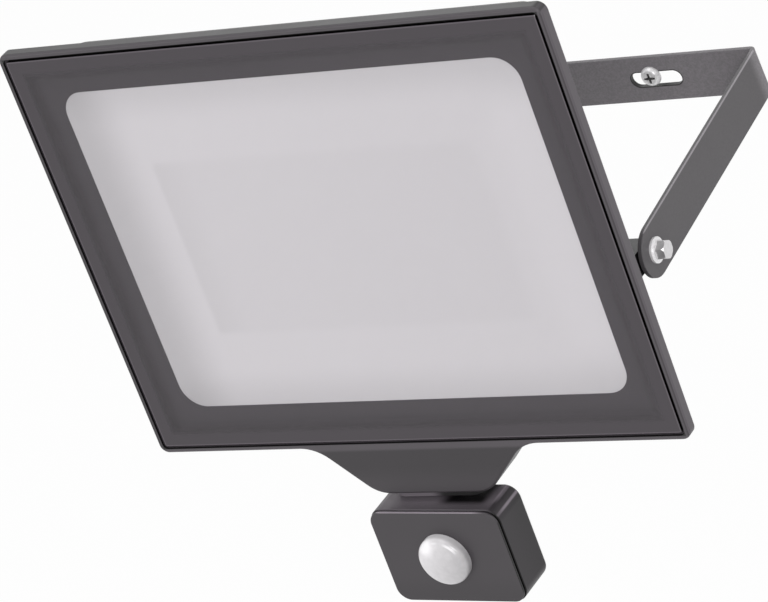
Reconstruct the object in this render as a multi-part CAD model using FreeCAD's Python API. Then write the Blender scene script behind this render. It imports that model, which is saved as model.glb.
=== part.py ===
import FreeCAD, Part
import math
import os

# Wall floodlight with a motion sensor under it. Lengths are in millimetres, +Z is up.
# The lamp head is drawn in its own panel frame: X to the right, Y from the glass towards the wall,
# Z up the panel, origin at the middle of the rim's front plane. It is then hung on the bracket's pivot.
# The whole part's origin is midway between the two wall screws, on the wall plane, with +Y into the wall.

# Front rim and the glass in it
lamp_width = 286.0
lamp_height = 216.6
rim_corner_radius = 4.5
rim_face = 2.4
rim_depth = 6.0
rim_edge_radius = 1.3
rim_back_radius = 0.5
seal_gap = 1.2
glass_recess = 0.2
glass_thickness = 3.2
glass_corner_radius = 1.2
print_thickness = 0.2
border_side = 22.85
border_end = 23.35
window_radius = 12.0
seal_recess = 1.1
seal_lip_thickness = 0.8
seal_lip_width = 6.0
seal_play = 0.1

# Cast shell behind the rim
shell_step = 4.5
shell_taper_x = 14.2
shell_taper_z = 7.2
shell_depth = 30.0
shell_corner_radius = 9.0
back_wall = 3.5
ledge_width = 7.0
cavity_draft_x = 11.0
cavity_draft_z = 5.5
cavity_corner_radius = 6.0
fin_count = 15
fin_margin = 27.5
fin_thickness = 2.6
fin_height = 10.0
fin_end_inset = 7.0
fin_end_slope = 8.0

# Chin that carries the sensor
chin_top_half_width = 55.9
chin_bottom_half_width = 30.2
chin_drop = 25.7
chin_top_radius = 20.0
chin_bottom_radius = 16.0
chin_depth = 21.5
chin_pocket_width = 26.0
chin_pocket_front = 3.0
chin_pocket_back = 19.0
chin_pocket_height = 20.0
wire_hole_radius = 3.0

# Tilting bracket, a bent steel strip
arm_setback = 4.9
strip_width = 24.5
strip_thickness = 2.2
bend_radius = 3.2
strip_edge_radius = 0.35
pivot_reach = 136.0
pivot_depth = 30.0
pivot_drop = 29.0
lamp_tilt_deg = 5.65
slot_offset = 2.0
slot_length = 26.6
slot_width = 8.0
friction_washer_thickness = 0.5
friction_washer_radius = 9.0
lug_radius = 5.5
lug_inner_reach = 16.0
lug_ear_thickness = 9.0
turning_fit = 0.08
bolt_radius = 2.5
bolt_length = 16.0
bolt_head_width = 8.0
bolt_head_height = 4.0
thread_play = 0.05
flat_washer_radius = 5.9
flat_washer_thickness = 1.0
spring_washer_radius = 4.5
spring_washer_thickness = 1.2
spring_washer_split = 0.9

# Wall screws. They clamp the bracket with their heads, high in its slots.
screw_spacing = 161.0
screw_radius = 2.0
screw_neck_radius = 1.4
screw_neck_reach = 0.3
screw_height = 1.95
screw_reach_in_wall = 9.8
screw_head_radius = 5.0
screw_head_height = 2.8

# Light source
diffuser_thickness = 1.5
diffuser_overlap = 6.0
reflector_sheet = 0.8
reflector_slope = 17.0
reflector_corner_radius = 10.0
board_thickness = 1.6
board_margin = 2.0
board_screw_inset = 9.5
board_screw_radius = 1.5
board_screw_head_radius = 2.8
board_screw_head_height = 1.8
board_screw_length = 4.2
led_size = 3.0
led_height = 0.8
led_columns = 14
led_rows = 8
led_margin = 22.2
lead_radius = 0.9
lead_hole_radius = 4.0
lead_spacing = 4.0
lead_bend = 3.0
lead_inset = 9.0
lead_run = 8.0
lead_pad_run = 7.0

# Driver box on the back
box_width = 150.0
box_height = 96.0
box_depth = 18.0
box_wall = 3.0
box_corner_radius = 7.0
boss_radius = 4.2
boss_inset = 6.6
cover_thickness = 3.0
cover_edge_radius = 1.2
cover_seal_thickness = 1.0
cover_seal_width = 2.0
cover_screw_radius = 1.9
cover_screw_length = 12.0
cover_screw_head_radius = 3.5
cover_screw_head_height = 2.4
driver_height = 58.0
driver_thickness = 14.0
terminal_width = 20.0
terminal_height = 24.0
terminal_thickness = 12.0
terminal_inset = 12.0
terminal_gap = 5.0
terminal_screw_radius = 1.8

# Cable gland and breather under the driver box
inlet_inset = 30.0
inlet_depth = 9.5
gland_thread_radius = 6.0
gland_hex_width = 15.0
gland_hex_height = 4.0
gland_inner_length = 5.0
gland_outer_length = 8.0
gland_bore_radius = 5.0
gland_nut_length = 9.0
gland_dome_length = 4.5
gland_seal_wall = 1.5
gland_seal_length = 9.0
gland_mouth_radius = 3.8
gland_locknut_height = 2.2
breather_width = 12.0
breather_height = 3.5
breather_cap_radius = 5.2
breather_cap_height = 2.6
breather_thread_radius = 3.5
fin_clearance = 12.0

# Sensor head: its front plane stands a little in front of the rim
sensor_width = 71.0
sensor_height = 50.6
sensor_depth = 23.6
sensor_corner_radius = 7.2
sensor_proud = 7.9
sensor_gap = 4.8
sensor_turn_deg = 1.6
sensor_wall = 2.0
sensor_back_radius = 2.0
face_thickness = 1.0
face_edge_radius = 0.45
face_inset = 0.5
sensor_edge_radius = 0.5
sensor_seal_thickness = 0.8
sensor_seal_inset = 1.0
lens_radius = 13.0
lens_height = 7.0
lens_crown_radius = 34.0
lens_edge_radius = 3.2
lens_wall = 1.2
lens_flange_width = 1.6
lens_flange_thickness = 1.0
lens_ring_thickness = 1.5
lens_play = 0.05
sensor_board_width = 50.0
sensor_board_height = 27.0
sensor_board_setback = 9.0
sensor_board_thickness = 1.6
pir_radius = 4.6
pir_height = 4.2
pir_window = 3.4
relay_width = 18.0
relay_height = 10.0
relay_thickness = 8.0
relay_x = 15.0
dial_spacing = 15.0
dial_radius = 3.2
dial_fit = 0.1
dial_height = 3.6
dial_recess = 0.3
dial_shaft_radius = 1.2
dial_shaft_length = 2.5
dial_slot_width = 0.9
dial_slot_depth = 1.2
trimmer_width = 7.0
trimmer_height = 4.0
sensor_screw_radius = 1.2
sensor_screw_head_radius = 2.4
sensor_screw_head_height = 1.6
sensor_screw_inset = 6.5
sensor_post_radius = 2.8

# Swivel between chin and sensor
base_width = 53.0
base_depth = 19.0
base_thickness = 3.0
swivel_depth = 10.5
neck_shaft_radius = 5.5
neck_shaft_length = 6.5
neck_stem_width = 12.0
neck_stem_thickness = 6.0
neck_fit = 0.08
hinge_drop = 7.0
hinge_radius = 3.55
hinge_pin_radius = 1.5
hinge_side_play = 0.3
cheek_thickness = 2.6
cheek_reach = 5.0
notch_front = 5.2
retainer_radius = 7.5
retainer_thickness = 2.0
base_screw_x = 18.5
base_screw_radius = 1.2
base_screw_head_radius = 2.3
base_screw_head_height = 0.8
base_screw_length = 8.0
neck_wire_radius = 1.6

# Sizes worked out from the ones above
half_width = lamp_width / 2
half_height = lamp_height / 2
pocket_width = lamp_width - 2 * rim_face
pocket_height = lamp_height - 2 * rim_face
glass_width = pocket_width - 2 * seal_gap
glass_height = pocket_height - 2 * seal_gap
glass_back = glass_recess + glass_thickness
print_back = glass_back + print_thickness
pocket_depth = print_back + seal_lip_thickness
cavity_floor = shell_depth - back_wall
chin_bottom = -half_height - chin_drop
bracket_width = lamp_width - 2 * arm_setback
arm_inner = bracket_width / 2 - strip_thickness
lug_face = arm_inner - friction_washer_thickness
fin_pitch = (lamp_width - 2 * fin_margin) / (fin_count - 1)
window_width = lamp_width - 2 * border_side
window_height = lamp_height - 2 * border_end
diffuser_width = window_width + 2 * diffuser_overlap
diffuser_height = window_height + 2 * diffuser_overlap
diffuser_back = print_back + diffuser_thickness
board_front = cavity_floor - board_thickness
board_width = diffuser_width - 2 * (reflector_slope - board_margin)
board_height = diffuser_height - 2 * (reflector_slope - board_margin)
led_pitch_x = (board_width - 2 * led_margin) / (led_columns - 1)
led_pitch_z = (board_height - 2 * led_margin) / (led_rows - 1)
box_back = shell_depth + box_depth
cover_front = box_back + cover_seal_thickness
cover_back = cover_front + cover_thickness
lead_x = lead_inset - box_width / 2
terminal_x = box_width / 2 - terminal_inset - terminal_width / 2
driver_start = lead_x + lead_run
driver_end = terminal_x - terminal_width / 2 - terminal_gap
driver_x = (driver_start + driver_end) / 2
driver_width = driver_end - driver_start
inlet_x = box_width / 2 - inlet_inset
breather_x = -inlet_x
inlet_y = shell_depth + inlet_depth
box_bottom = -box_height / 2
sensor_face = -sensor_proud
sensor_top = chin_bottom - sensor_gap
sensor_middle = sensor_top - sensor_height / 2
sensor_bottom = sensor_top - sensor_height
face_back = sensor_face + face_thickness
body_front = face_back + sensor_seal_thickness
sensor_back = sensor_face + sensor_depth
sensor_board_front = sensor_face + sensor_board_setback
sensor_board_back = sensor_board_front + sensor_board_thickness
sensor_board_bottom = sensor_bottom + sensor_wall + dial_height + 0.6
base_bottom = chin_bottom - base_thickness
hinge_z = sensor_top - hinge_drop
slot_spacing = screw_spacing + 2 * slot_offset

V = FreeCAD.Vector


def outline(corners, y):
    """Closed wire at depth y through corners (x, z, radius), each rounded by its own radius."""
    arcs = []
    for i, (x, z, radius) in enumerate(corners):
        here = V(x, y, z)
        before = corners[i - 1]
        after = corners[(i + 1) % len(corners)]
        to_before = (V(before[0], y, before[1]) - here).normalize()
        to_after = (V(after[0], y, after[1]) - here).normalize()
        half_angle = to_before.getAngle(to_after) / 2
        reach = radius / math.tan(half_angle)
        inward = (to_before + to_after).normalize()
        middle = here + inward * (radius / math.sin(half_angle) - radius)
        arcs.append((here + to_before * reach, middle, here + to_after * reach))
    edges = []
    for i, (start, middle, end) in enumerate(arcs):
        edges.append(Part.Arc(start, middle, end).toShape())
        following = arcs[(i + 1) % len(arcs)][0]
        if end.distanceToPoint(following) > 1e-6:
            edges.append(Part.makeLine(end, following))
    return Part.Wire(edges)


def rectangle(width, height, radius, y, x=0.0, z=0.0):
    """Rounded rectangle wire at depth y, centred on x, z."""
    a = width / 2
    b = height / 2
    corners = [(x - a, z - b, radius), (x + a, z - b, radius), (x + a, z + b, radius), (x - a, z + b, radius)]
    return outline(corners, y)


def sheet(wire, depth):
    """Solid between a wire and its copy moved back by depth along +Y."""
    return Part.Face(wire).extrude(V(0, depth, 0))


def plate(width, height, radius, front, back, x=0.0, z=0.0):
    """Rounded rectangular plate between two depths."""
    return sheet(rectangle(width, height, radius, front, x, z), back - front)


def block(x_low, x_high, y_low, y_high, z_low, z_high):
    """Plain box between its limits."""
    return Part.makeBox(x_high - x_low, y_high - y_low, z_high - z_low, V(x_low, y_low, z_low))


def rod(radius, start, end):
    """Cylinder from one point to another."""
    along = end - start
    return Part.makeCylinder(radius, along.Length, start, along)


def tube(outer, inner, start, end):
    """Ring or sleeve between two points."""
    return rod(outer, start, end).cut(rod(inner, start, end))


def hexagon(width, start, end):
    """Hexagonal prism of the given width across flats from one point to another."""
    along = end - start
    side = V(1, 0, 0) if abs(along.x) < 0.5 * along.Length else V(0, 0, 1)
    across = along.cross(side).normalize()
    radius = width / math.sqrt(3)
    points = []
    for i in range(7):
        turn = FreeCAD.Rotation(along, 60.0 * i + 30.0)
        points.append(start + turn.multVec(across) * radius)
    return Part.Face(Part.makePolygon(points)).extrude(along)


def edges_at(shape, y, test=None):
    """Edges that lie whole at depth y and pass the test on their middle."""
    found = []
    for edge in shape.Edges:
        box = edge.BoundBox
        if abs(box.YMin - y) < 1e-4 and abs(box.YMax - y) < 1e-4:
            if test is None or test(box.Center):
                found.append(edge)
    return found


def chin_corners(top, top_radius):
    """Corners of the chin's outline, from its left top round to its right top."""
    return [
        (-chin_top_half_width, top, top_radius),
        (-chin_bottom_half_width, chin_bottom, chin_bottom_radius),
        (chin_bottom_half_width, chin_bottom, chin_bottom_radius),
        (chin_top_half_width, top, top_radius),
    ]


def front_rim():
    """Rim plate with the chin in one outline, its front edge rounded all round."""
    corners = [(-half_width, half_height, rim_corner_radius), (-half_width, -half_height, rim_corner_radius)]
    corners += chin_corners(-half_height, chin_top_radius)
    corners += [(half_width, -half_height, rim_corner_radius), (half_width, half_height, rim_corner_radius)]
    rim = sheet(outline(corners, 0.0), rim_depth)
    rim = rim.makeFillet(rim_edge_radius, edges_at(rim, 0.0))
    sides_and_top = edges_at(rim, rim_depth, lambda c: c.z > -half_height + rim_corner_radius / 4)
    return rim.makeFillet(rim_back_radius, sides_and_top)


def chin_block():
    """Chin behind the rim, which runs up into the shell's lower wall."""
    above = half_height - ledge_width - cavity_draft_z
    corners = chin_corners(-half_height, chin_top_radius)
    top_half_width = chin_top_half_width + chin_top_radius / 2
    corners = [(-top_half_width, -above, 1.0), (-top_half_width, -half_height, 1.0)] + corners
    corners += [(top_half_width, -half_height, 1.0), (top_half_width, -above, 1.0)]
    return sheet(outline(corners, rim_edge_radius + 1.0), chin_depth - rim_edge_radius - 1.0)


def shell_at(depth, inset_x, inset_z, radius):
    """Shell's outer outline at one depth."""
    return rectangle(lamp_width - 2 * inset_x, lamp_height - 2 * inset_z, radius, depth)


def cast_fins():
    """Upright cooling fins on the back, their ends sloped."""
    z_low = half_height - shell_step - shell_taper_z - fin_end_inset
    fins = []
    for i in range(fin_count):
        x = (i - (fin_count - 1) / 2) * fin_pitch
        y_low = shell_depth - back_wall / 2
        y_high = shell_depth + fin_height
        points = [V(x, y_low, -z_low), V(x, y_low, z_low), V(x, y_high, z_low - fin_end_slope),
                  V(x, y_high, -z_low + fin_end_slope), V(x, y_low, -z_low)]
        face = Part.Face(Part.makePolygon(points))
        face.translate(V(-fin_thickness / 2, 0, 0))
        fins.append(face.extrude(V(fin_thickness, 0, 0)))
    return fins


def box_corner_points(inset):
    """Corners of the driver box, moved in by inset."""
    a = box_width / 2 - inset
    b = box_height / 2 - inset
    return [(-a, -b), (a, -b), (a, b), (-a, b)]


def board_screw_points():
    """Places of the screws that hold the LED board."""
    a = board_width / 2 - board_screw_inset
    b = board_height / 2 - board_screw_inset
    return [(-a, -b), (0.0, -b), (a, -b), (-a, b), (0.0, b), (a, b)]


def rear_housing():
    """Cast aluminium body: rim, tapered shell, chin, fins, driver box and the two lugs."""
    inset_x = shell_step + shell_taper_x
    inset_z = shell_step + shell_taper_z
    shell = Part.makeLoft([
        shell_at(rim_depth - 1.0, shell_step, shell_step, shell_corner_radius),
        shell_at(shell_depth, inset_x, inset_z, shell_corner_radius),
    ], True, True)
    driver_box = plate(box_width, box_height, box_corner_radius, shell_depth - 1.0, box_back)
    body = front_rim().fuse([shell, chin_block(), driver_box] + cast_fins())
    for x in (inlet_x, breather_x):
        body = body.cut(block(x - fin_clearance, x + fin_clearance, shell_depth, box_back,
                              -half_height + shell_step + shell_taper_z, box_bottom))
    body = body.cut(plate(pocket_width, pocket_height, glass_corner_radius + seal_gap, -1.0, pocket_depth))
    cavity = Part.makeLoft([
        rectangle(pocket_width - 2 * ledge_width, pocket_height - 2 * ledge_width, cavity_corner_radius,
                  pocket_depth - 0.5),
        rectangle(pocket_width - 2 * (ledge_width + cavity_draft_x),
                  pocket_height - 2 * (ledge_width + cavity_draft_z), cavity_corner_radius, cavity_floor),
    ], True, True)
    body = body.cut(cavity)
    inner_width = box_width - 2 * box_wall
    inner_height = box_height - 2 * box_wall
    pocket = plate(inner_width, inner_height, box_corner_radius - box_wall, shell_depth, box_back + 1.0)
    for x, z in box_corner_points(boss_inset):
        pocket = pocket.cut(rod(boss_radius, V(x, 0, z), V(x, box_back + 2.0, z)))
    body = body.cut(pocket)
    lugs = []
    for side in (-1, 1):
        inner = side * (lug_face - lug_inner_reach)
        outer = side * lug_face
        lugs.append(rod(lug_radius, V(inner, pivot_depth, -pivot_drop), V(outer, pivot_depth, -pivot_drop)))
        ear_inner = side * (lug_face - lug_ear_thickness)
        lugs.append(block(min(ear_inner, outer), max(ear_inner, outer), pocket_depth + 0.4, pivot_depth,
                          -pivot_drop - lug_radius, -pivot_drop + lug_radius))
    body = body.fuse(lugs)
    holes = []
    for side in (-1, 1):
        inner = side * (lug_face - bolt_length)
        holes.append(rod(bolt_radius + thread_play, V(inner, pivot_depth, -pivot_drop),
                         V(side * (lug_face + 5.0), pivot_depth, -pivot_drop)))
    for x, z in box_corner_points(boss_inset):
        depth = cover_screw_length - cover_seal_thickness - cover_thickness + 1.0
        holes.append(rod(cover_screw_radius + thread_play, V(x, box_back - depth, z), V(x, box_back + 1.0, z)))
    for x, z in board_screw_points():
        depth = board_screw_length - board_thickness + 0.2
        holes.append(rod(board_screw_radius + thread_play, V(x, cavity_floor - 1.0, z),
                         V(x, cavity_floor + depth, z)))
    holes.append(rod(lead_hole_radius, V(lead_x, cavity_floor - 2.0, 0), V(lead_x, shell_depth + 1.0, 0)))
    holes.append(rod(gland_thread_radius + thread_play, V(inlet_x, inlet_y, box_bottom - 1.0),
                     V(inlet_x, inlet_y, box_bottom + box_wall + 1.0)))
    holes.append(rod(breather_thread_radius + thread_play, V(breather_x, inlet_y, box_bottom - 1.0),
                     V(breather_x, inlet_y, box_bottom + box_wall + 1.0)))
    holes.append(block(-chin_pocket_width / 2, chin_pocket_width / 2, chin_pocket_front, chin_pocket_back,
                       chin_bottom - 1.0, chin_bottom + chin_pocket_height))
    holes.append(rod(wire_hole_radius, V(0, swivel_depth, chin_bottom + chin_pocket_height - 1.0),
                     V(0, swivel_depth, -half_height + ledge_width + cavity_draft_z + 4.0)))
    for side in (-1, 1):
        x = side * base_screw_x
        holes.append(rod(base_screw_radius + thread_play, V(x, swivel_depth, chin_bottom - 1.0),
                         V(x, swivel_depth, chin_bottom + base_screw_length)))
    return body.cut(holes)


def front_glass():
    """Toughened pane with its front arrises eased."""
    pane = plate(glass_width, glass_height, glass_corner_radius, glass_recess, glass_back)
    return pane.makeChamfer(0.3, edges_at(pane, glass_recess))


def printed_border():
    """Opaque border printed on the back of the pane, with the clear window in it."""
    border = plate(glass_width, glass_height, glass_corner_radius, glass_back, print_back)
    return border.cut(plate(window_width, window_height, window_radius, glass_back - 1.0, print_back + 1.0))


def glass_seal():
    """Silicone frame: a wall round the pane's edge and a lip behind it."""
    outer_width = pocket_width - 2 * seal_play
    outer_height = pocket_height - 2 * seal_play
    corner = glass_corner_radius + seal_gap - seal_play
    ring = plate(outer_width, outer_height, corner, seal_recess, pocket_depth)
    bed = plate(glass_width + 2 * seal_play, glass_height + 2 * seal_play, glass_corner_radius + seal_play,
                seal_recess - 1.0, print_back)
    opening = plate(pocket_width - 2 * seal_lip_width, pocket_height - 2 * seal_lip_width,
                    cavity_corner_radius, 0.0, pocket_depth + 1.0)
    return ring.cut([bed, opening])


def diffuser_sheet():
    """Opal sheet laid on the back of the pane."""
    return plate(diffuser_width, diffuser_height, window_radius, print_back, diffuser_back)


def reflector_frame():
    """White sheet frame that slopes from the diffuser in to the LED board."""
    def funnel(inset):
        return Part.makeLoft([
            rectangle(diffuser_width - 2 * inset, diffuser_height - 2 * inset, reflector_corner_radius,
                      diffuser_back),
            rectangle(diffuser_width - 2 * (reflector_slope + inset),
                      diffuser_height - 2 * (reflector_slope + inset), reflector_corner_radius, board_front),
        ], True, True)
    return funnel(0.0).cut(funnel(reflector_sheet))


def led_board():
    """Aluminium-backed board against the shell's back wall."""
    board = plate(board_width, board_height, 3.0, board_front, cavity_floor)
    holes = [rod(board_screw_radius + 0.1, V(x, board_front - 1.0, z), V(x, cavity_floor + 1.0, z))
             for x, z in board_screw_points()]
    holes.append(rod(lead_hole_radius, V(lead_x, board_front - 1.0, 0), V(lead_x, cavity_floor + 1.0, 0)))
    return board.cut(holes)


def led_chips():
    """Rows of surface-mounted LEDs. The place of the leads is left free."""
    chips = []
    for row in range(led_rows):
        for column in range(led_columns):
            x = (column - (led_columns - 1) / 2) * led_pitch_x
            z = (row - (led_rows - 1) / 2) * led_pitch_z
            beside_leads = abs(x - lead_x) < lead_hole_radius + lead_pad_run + led_size and abs(z) < led_pitch_z / 2
            if not beside_leads:
                chips.append(block(x - led_size / 2, x + led_size / 2, board_front - led_height, board_front,
                                   z - led_size / 2, z + led_size / 2))
    return Part.makeCompound(chips)


def pan_screw(radius, length, head_radius, head_height, seat, direction):
    """Pan-head screw with a cross recess. Seat is under the head, direction points out of the head."""
    out = V(direction).normalize()
    shank = rod(radius, seat - out * length, seat)
    head = rod(head_radius, seat, seat + out * head_height)
    top = seat + out * head_height
    rim = [e for e in head.Edges if e.BoundBox.Center.distanceToPoint(top) < 1e-3 and e.Closed]
    head = head.makeFillet(head_height * 0.55, rim)
    screw = shank.fuse(head)
    side = V(1, 0, 0) if abs(out.x) < 0.5 else V(0, 0, 1)
    across = out.cross(side).normalize()
    for arm in (across, out.cross(across)):
        recess = Part.makeBox(head_radius * 1.04, head_radius * 0.22, head_height,
                              V(-head_radius * 0.52, -head_radius * 0.11, 0))
        turn = FreeCAD.Rotation(arm, out.cross(arm), out, "ZXY")
        recess.Placement = FreeCAD.Placement(top - out * (head_height * 0.5), turn)
        screw = screw.cut(recess)
    return screw


def board_screws():
    """Pan-head screws through the LED board."""
    return Part.makeCompound([
        pan_screw(board_screw_radius, board_screw_length, board_screw_head_radius, board_screw_head_height,
                  V(x, board_front, z), V(0, -1, 0)) for x, z in board_screw_points()])


def bent_lead(points):
    """Round lead along straight runs joined by tangent arcs."""
    edges = []
    start = points[0]
    for i in range(1, len(points) - 1):
        into = (points[i - 1] - points[i]).normalize() * lead_bend
        out = (points[i + 1] - points[i]).normalize() * lead_bend
        inward = (into + out).normalize() * (math.sqrt(2) - 1) * lead_bend
        edges.append(Part.makeLine(start, points[i] + into))
        edges.append(Part.Arc(points[i] + into, points[i] + inward, points[i] + out).toShape())
        start = points[i] + out
    edges.append(Part.makeLine(start, points[-1]))
    path = Part.Wire(edges)
    section = Part.Wire(Part.makeCircle(lead_radius, points[0], points[1] - points[0]))
    return path.makePipeShell([section], True, False)


def led_leads():
    """Two leads from the driver through the back wall to the front of the LED board."""
    leads = []
    for side in (-1, 1):
        z = side * lead_spacing / 2
        back = shell_depth + driver_thickness / 2
        front = board_front - lead_radius
        leads.append(bent_lead([V(driver_start, back, z), V(lead_x, back, z), V(lead_x, front, z),
                                V(lead_x - lead_hole_radius - lead_pad_run, front, z)]))
    return Part.makeCompound(leads)


def driver_module():
    """Potted driver lying on the floor of its box."""
    brick = plate(driver_width, driver_height, 3.0, shell_depth, shell_depth + driver_thickness, driver_x)
    return brick.makeFillet(1.5, edges_at(brick, shell_depth + driver_thickness))


def terminal_block():
    """Three-way terminal block beside the driver."""
    body = block(terminal_x - terminal_width / 2, terminal_x + terminal_width / 2, shell_depth,
                 shell_depth + terminal_thickness, -terminal_height / 2, terminal_height / 2)
    top = shell_depth + terminal_thickness
    for i in (-1, 0, 1):
        z = i * terminal_height / 3
        body = body.cut(rod(terminal_screw_radius, V(terminal_x, top - 4.0, z), V(terminal_x, top + 1.0, z)))
        body = body.cut(rod(terminal_screw_radius * 0.8, V(terminal_x - terminal_width, top - 7.0, z),
                            V(terminal_x + terminal_width, top - 7.0, z)))
    return body


def driver_cover():
    """Cast cover plate of the driver box."""
    cover = plate(box_width, box_height, box_corner_radius, cover_front, cover_back)
    cover = cover.makeFillet(cover_edge_radius, edges_at(cover, cover_back))
    holes = [rod(cover_screw_radius + 0.1, V(x, cover_front - 1.0, z), V(x, cover_back + 1.0, z))
             for x, z in box_corner_points(boss_inset)]
    return cover.cut(holes)


def cover_seal():
    """Flat seal between the driver box and its cover."""
    ring = plate(box_width - 1.0, box_height - 1.0, box_corner_radius - 0.5, box_back, cover_front)
    hole = plate(box_width - 2 * (cover_seal_width + 0.5), box_height - 2 * (cover_seal_width + 0.5),
                 box_corner_radius - cover_seal_width, box_back - 1.0, cover_front + 1.0)
    return ring.cut(hole)


def cover_screws():
    """Four pan-head screws in the cover."""
    return Part.makeCompound([
        pan_screw(cover_screw_radius, cover_screw_length, cover_screw_head_radius, cover_screw_head_height,
                  V(x, cover_back, z), V(0, 1, 0)) for x, z in box_corner_points(boss_inset)])


def inlet_point(z):
    """Point on the gland's axis."""
    return V(inlet_x, inlet_y, z)


def gland_body():
    """Gland body: thread in the wall, hexagon outside and a thread for the dome nut."""
    outside = box_bottom - gland_hex_height
    body = rod(gland_thread_radius, inlet_point(outside - gland_outer_length),
               inlet_point(box_bottom + gland_inner_length))
    body = body.fuse(hexagon(gland_hex_width, inlet_point(outside), inlet_point(box_bottom)))
    bore = rod(gland_bore_radius, inlet_point(outside - gland_outer_length - 1.0),
               inlet_point(box_bottom + gland_inner_length + 1.0))
    return body.cut(bore)


def gland_nut():
    """Dome nut that squeezes the seal on the cord."""
    top = box_bottom - gland_hex_height - 0.4
    bottom = top - gland_nut_length
    end = bottom - gland_dome_length
    nut = hexagon(gland_hex_width, inlet_point(bottom), inlet_point(top))
    dome = Part.makeCone(gland_thread_radius + 1.2, gland_mouth_radius + 1.2, gland_dome_length,
                         inlet_point(bottom), V(0, 0, -1))
    nut = nut.fuse(dome)
    nut = nut.cut(rod(gland_thread_radius + thread_play, inlet_point(bottom + 0.2), inlet_point(top + 1.0)))
    return nut.cut(rod(gland_mouth_radius, inlet_point(end - 1.0), inlet_point(top)))


def gland_seal():
    """Rubber sleeve inside the gland, which takes a round cord."""
    top = box_bottom - gland_hex_height + 1.0
    outer = gland_bore_radius - 0.05
    return tube(outer, outer - gland_seal_wall, inlet_point(top - gland_seal_length), inlet_point(top))


def gland_locknut():
    """Nut on the gland's thread inside the box."""
    low = box_bottom + box_wall
    nut = hexagon(gland_hex_width, inlet_point(low), inlet_point(low + gland_locknut_height))
    return nut.cut(rod(gland_thread_radius + thread_play, inlet_point(low - 1.0),
                       inlet_point(low + gland_locknut_height + 1.0)))


def breather():
    """Pressure-balancing plug in the box's lower wall."""
    def point(z):
        return V(breather_x, inlet_y, z)
    low = box_bottom - breather_height
    body = hexagon(breather_width, point(low), point(box_bottom))
    cap = rod(breather_cap_radius, point(low - breather_cap_height), point(low))
    thread = rod(breather_thread_radius, point(box_bottom), point(box_bottom + box_wall + 1.5))
    return body.fuse([cap, thread])


def pivot_point(x):
    """Point on the bracket's pivot, in the panel frame."""
    return V(x, pivot_depth, -pivot_drop)


def friction_washers():
    """Thin washers between the lugs and the arms."""
    return Part.makeCompound([
        tube(friction_washer_radius, bolt_radius + 0.1, pivot_point(side * lug_face),
             pivot_point(side * arm_inner)) for side in (-1, 1)])


def flat_washers():
    """Flat washers on the outside of the arms."""
    outside = bracket_width / 2
    return Part.makeCompound([
        tube(flat_washer_radius, bolt_radius + 0.1, pivot_point(side * outside),
             pivot_point(side * (outside + flat_washer_thickness))) for side in (-1, 1)])


def spring_washers():
    """Split washers under the bolt heads."""
    low = bracket_width / 2 + flat_washer_thickness
    high = low + spring_washer_thickness
    washers = []
    for side in (-1, 1):
        ring = tube(spring_washer_radius, bolt_radius + 0.1, pivot_point(side * low), pivot_point(side * high))
        split = block(min(side * low, side * high) - 1.0, max(side * low, side * high) + 1.0, pivot_depth,
                      pivot_depth + spring_washer_radius + 1.0, -pivot_drop - spring_washer_split / 2,
                      -pivot_drop + spring_washer_split / 2)
        washers.append(ring.cut(split))
    return Part.makeCompound(washers)


def pivot_bolts():
    """Hexagon bolts that clamp the lamp between the arms."""
    seat = bracket_width / 2 + flat_washer_thickness + spring_washer_thickness
    bolts = []
    for side in (-1, 1):
        shank = rod(bolt_radius, pivot_point(side * (lug_face - bolt_length + 1.0)), pivot_point(side * seat))
        head = hexagon(bolt_head_width, pivot_point(side * seat), pivot_point(side * (seat + bolt_head_height)))
        crown = Part.makeCone(bolt_head_width * 0.72, bolt_head_width * 0.46, bolt_head_height * 1.3,
                              pivot_point(side * seat), V(side, 0, 0))
        bolts.append(head.common(crown).fuse(shank))
    return Part.makeCompound(bolts)


def mounting_bracket():
    """U-shaped strip: a crossbar on the wall, two arms, round arm ends, two slots."""
    half = bracket_width / 2
    low = -screw_height - strip_width / 2
    reach = pivot_reach + strip_width
    outer = block(-half, half, -reach, 0.0, low, low + strip_width)
    bends = [e for e in outer.Edges
             if abs(e.BoundBox.YMin) < 1e-4 and abs(e.BoundBox.YMax) < 1e-4 and e.BoundBox.ZLength > 1.0]
    outer = outer.makeFillet(bend_radius, bends)
    inner = block(-half + strip_thickness, half - strip_thickness, -reach - 1.0, -strip_thickness, low - 1.0,
                  low + strip_width + 1.0)
    back = [e for e in inner.Edges if abs(e.BoundBox.YMin + strip_thickness) < 1e-4
            and e.BoundBox.ZLength > strip_width]
    inner = inner.makeFillet(bend_radius - strip_thickness, back)
    strip = outer.cut(inner)
    side_view = block(-half - 1.0, half + 1.0, -pivot_reach, 1.0, low, low + strip_width)
    side_view = side_view.fuse(rod(strip_width / 2, V(-half - 1.0, -pivot_reach, -screw_height),
                                   V(half + 1.0, -pivot_reach, -screw_height)))
    strip = strip.common(side_view)
    strip = strip.cut(rod(bolt_radius + turning_fit, V(-half - 1.0, -pivot_reach, -screw_height),
                          V(half + 1.0, -pivot_reach, -screw_height)))
    for side in (-1, 1):
        slot = plate(slot_length, slot_width, slot_width / 2 - 1e-4, -strip_thickness - 1.0, 1.0,
                     side * slot_spacing / 2, -screw_height)
        strip = strip.cut(slot)
    strip = strip.removeSplitter()
    long_edges = [e for e in strip.Edges if e.Length > strip_width * 2]
    return strip.makeFillet(strip_edge_radius, long_edges)


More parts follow.
